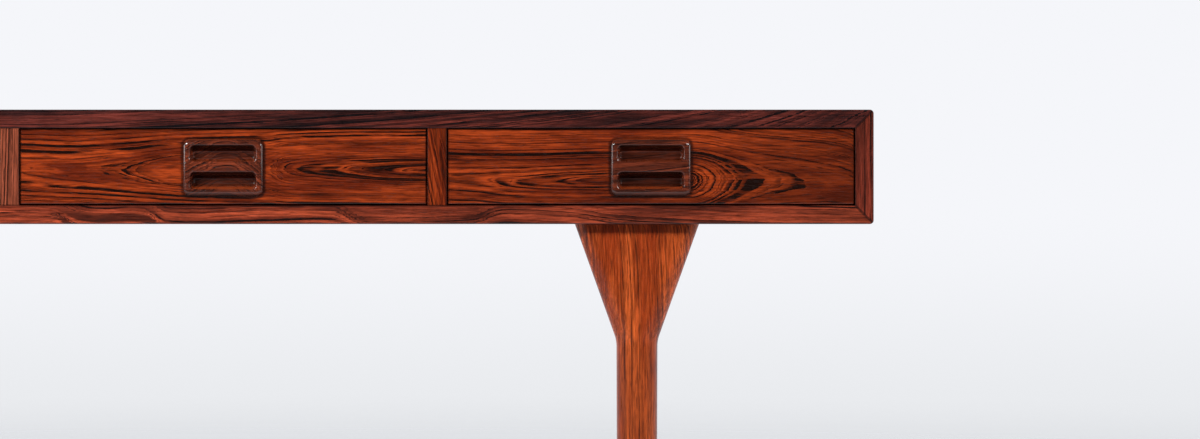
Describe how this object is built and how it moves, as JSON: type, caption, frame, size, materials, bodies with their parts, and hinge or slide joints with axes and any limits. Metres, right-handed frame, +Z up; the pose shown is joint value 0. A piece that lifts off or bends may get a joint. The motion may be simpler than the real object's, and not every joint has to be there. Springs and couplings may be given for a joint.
{
  "type": "executive desk",
  "caption": "Long, slim rosewood executive desk: mitred carcase with a row of sliding drawers with carved pulls, on round legs that flare out under it.",
  "frame": {"origin": "on the floor, under the middle of the carcase", "axes": "+X along the desk to the sitter's right as seen from the front, +Y from the drawers to the back, +Z up"},
  "size_m": [2, 0.7544, 0.72],
  "materials": {
    "rosewood_veneer": "satin lacquer",
    "rosewood_solid": "satin lacquer",
    "drawer_oak": "waxed",
    "drawer_plywood": "waxed",
    "runner_beech": "waxed",
    "screw_steel": "plain",
    "glide_nylon": "matte"
  },
  "bodies": {
    "carcase": {"top_panel": "rosewood_veneer", "top_front_lipping": "rosewood_solid", "top_rear_lipping": "rosewood_solid", "bottom_panel": "rosewood_veneer", "bottom_front_lipping": "rosewood_solid", "bottom_rear_lipping": "rosewood_solid", "left_side_panel": "rosewood_veneer", "left_side_front_lipping": "rosewood_solid", "left_side_rear_lipping": "rosewood_solid", "right_side_panel": "rosewood_veneer", "right_side_front_lipping": "rosewood_solid", "right_side_rear_lipping": "rosewood_solid", "back_panel": "rosewood_veneer", "mitre_tongues": "drawer_plywood", "runner_screws": "screw_steel", "left_divider": "rosewood_veneer", "left_divider_lipping": "rosewood_solid", "centre_divider": "rosewood_veneer", "centre_divider_lipping": "rosewood_solid", "right_divider": "rosewood_veneer", "right_divider_lipping": "rosewood_solid", "drawer_1_runners": "runner_beech", "drawer_2_runners": "runner_beech", "drawer_3_runners": "runner_beech", "drawer_4_runners": "runner_beech", "front_left_leg": "rosewood_solid", "rear_left_leg": "rosewood_solid", "left_leg_rail": "rosewood_solid", "front_right_leg": "rosewood_solid", "rear_right_leg": "rosewood_solid", "right_leg_rail": "rosewood_solid", "leg_screws": "screw_steel", "leg_rail_screws": "screw_steel", "leg_glides": "glide_nylon"},
    "drawer_1": {"drawer_1_front": "rosewood_veneer", "drawer_1_pull": "rosewood_solid", "drawer_1_left_side": "drawer_oak", "drawer_1_right_side": "drawer_oak", "drawer_1_back": "drawer_oak", "drawer_1_bottom": "drawer_plywood"},
    "drawer_2": {"drawer_2_front": "rosewood_veneer", "drawer_2_pull": "rosewood_solid", "drawer_2_left_side": "drawer_oak", "drawer_2_right_side": "drawer_oak", "drawer_2_back": "drawer_oak", "drawer_2_bottom": "drawer_plywood"},
    "drawer_3": {"drawer_3_front": "rosewood_veneer", "drawer_3_pull": "rosewood_solid", "drawer_3_left_side": "drawer_oak", "drawer_3_right_side": "drawer_oak", "drawer_3_back": "drawer_oak", "drawer_3_bottom": "drawer_plywood"},
    "drawer_4": {"drawer_4_front": "rosewood_veneer", "drawer_4_pull": "rosewood_solid", "drawer_4_left_side": "drawer_oak", "drawer_4_right_side": "drawer_oak", "drawer_4_back": "drawer_oak", "drawer_4_bottom": "drawer_plywood"}
  },
  "joints": [
    {"name": "drawer_1_slide", "type": "slide", "parent": "carcase", "child": "drawer_1", "axis": [0, -1, 0], "range_m": [0, 0.42]},
    {"name": "drawer_2_slide", "type": "slide", "parent": "carcase", "child": "drawer_2", "axis": [0, -1, 0], "range_m": [0, 0.42]},
    {"name": "drawer_3_slide", "type": "slide", "parent": "carcase", "child": "drawer_3", "axis": [0, -1, 0], "range_m": [0, 0.42]},
    {"name": "drawer_4_slide", "type": "slide", "parent": "carcase", "child": "drawer_4", "axis": [0, -1, 0], "range_m": [0, 0.42]}
  ]
}
